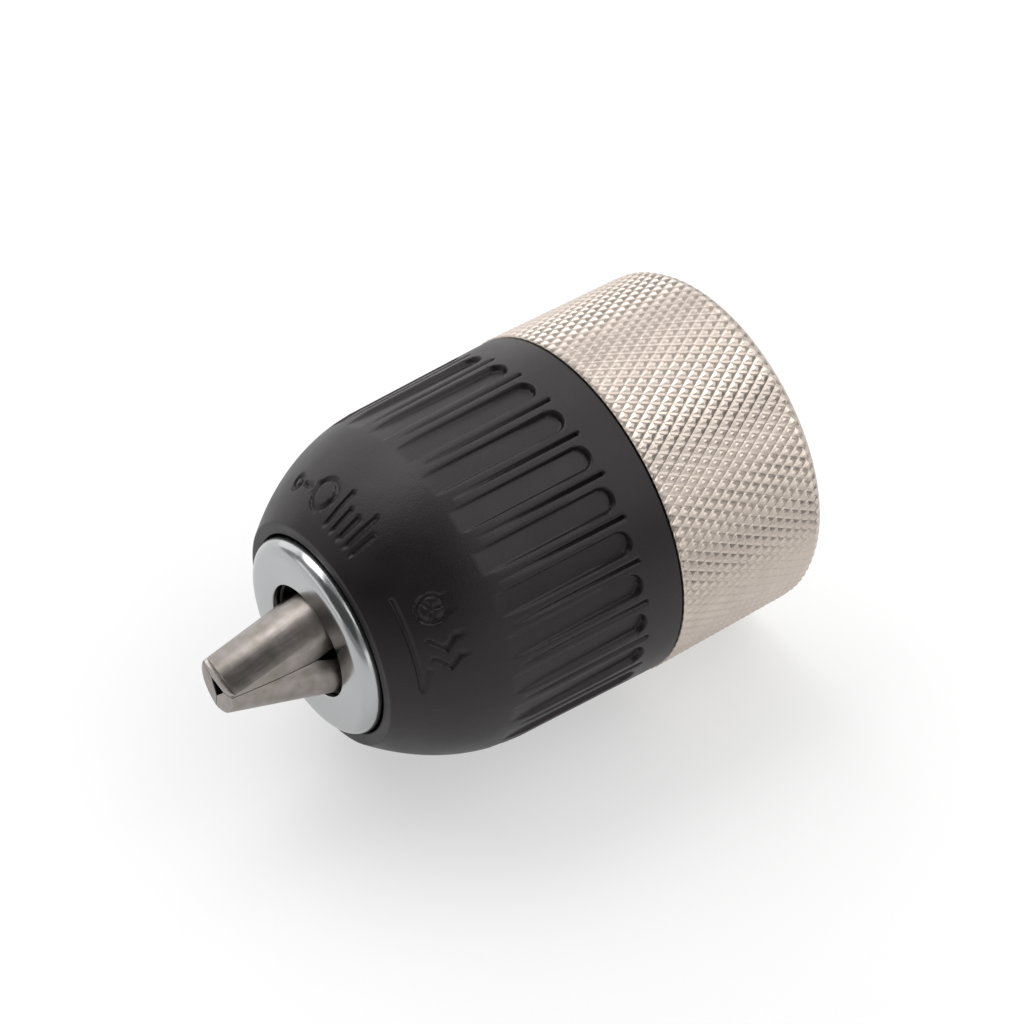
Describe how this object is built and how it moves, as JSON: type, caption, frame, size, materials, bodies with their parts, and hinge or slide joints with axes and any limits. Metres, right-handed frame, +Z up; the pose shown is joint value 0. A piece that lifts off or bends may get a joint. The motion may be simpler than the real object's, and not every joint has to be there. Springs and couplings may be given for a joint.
{
  "type": "drill chuck",
  "caption": "Keyless three-jaw drill chuck with a fluted grip sleeve, a knurled rear sleeve, a bright nose ring and a threaded spindle socket.",
  "frame": {"origin": "on the spin axis, halfway between the closed jaw tips and the rear face of the rear sleeve", "axes": "+Y along the spin axis from the nose to the spindle socket, +Z up as the chuck lies on its side, +X to the right seen from the nose"},
  "size_m": [0.0432, 0.0702, 0.0432],
  "materials": {
    "body_steel": "turned, satin",
    "jaw_steel": "ground, satin",
    "bright_ring": "bright plated",
    "black_plastic": "fine moulded satin",
    "knurled_nickel": "diamond knurled, nickel plated",
    "bearing_steel": "ground and oiled",
    "cage_brass": "stamped"
  },
  "bodies": {
    "chuck": {"chuck_body": "body_steel", "rear_sleeve": "knurled_nickel", "nose_ring": "bright_ring", "race_rear": "bearing_steel"},
    "sleeve": {"front_sleeve": "black_plastic", "nut_band": "bearing_steel", "split_nut_a": "bearing_steel", "split_nut_b": "bearing_steel", "race_front": "bearing_steel"},
    "bearing": {"ball_cage": "cage_brass", "ball_01": "bearing_steel", "ball_02": "bearing_steel", "ball_03": "bearing_steel", "ball_04": "bearing_steel", "ball_05": "bearing_steel", "ball_06": "bearing_steel", "ball_07": "bearing_steel", "ball_08": "bearing_steel", "ball_09": "bearing_steel", "ball_10": "bearing_steel", "ball_11": "bearing_steel", "ball_12": "bearing_steel", "ball_13": "bearing_steel", "ball_14": "bearing_steel", "ball_15": "bearing_steel", "ball_16": "bearing_steel"},
    "jaw_a": {"jaw_1": "jaw_steel"},
    "jaw_b": {"jaw_2": "jaw_steel"},
    "jaw_c": {"jaw_3": "jaw_steel"}
  },
  "joints": [
    {"name": "sleeve_turn", "type": "hinge", "parent": "chuck", "child": "sleeve", "pos_m": [0, 0, 0], "axis": [0, -1, 0], "range_deg": [0, 2906]},
    {"name": "bearing_turn", "type": "hinge", "parent": "chuck", "child": "bearing", "pos_m": [0, 0, 0], "axis": [0, -1, 0], "range_deg": [0, 1454]},
    {"name": "jaw_a_slide", "type": "slide", "parent": "chuck", "child": "jaw_a", "axis": [0.0509, 0.9617, 0.2692], "range_m": [0, 0.021]},
    {"name": "jaw_b_slide", "type": "slide", "parent": "chuck", "child": "jaw_b", "axis": [0.2077, 0.9617, -0.1786], "range_m": [0, 0.021]},
    {"name": "jaw_c_slide", "type": "slide", "parent": "chuck", "child": "jaw_c", "axis": [-0.2586, 0.9617, -0.0905], "range_m": [0, 0.021]}
  ],
  "couplings": [
    {"joint": "bearing_turn", "follows": "sleeve_turn", "ratio": 0.5},
    {"joint": "jaw_a_slide", "follows": "sleeve_turn", "m_per_rad": 0.00041372},
    {"joint": "jaw_b_slide", "follows": "sleeve_turn", "m_per_rad": 0.00041372},
    {"joint": "jaw_c_slide", "follows": "sleeve_turn", "m_per_rad": 0.00041372}
  ]
}
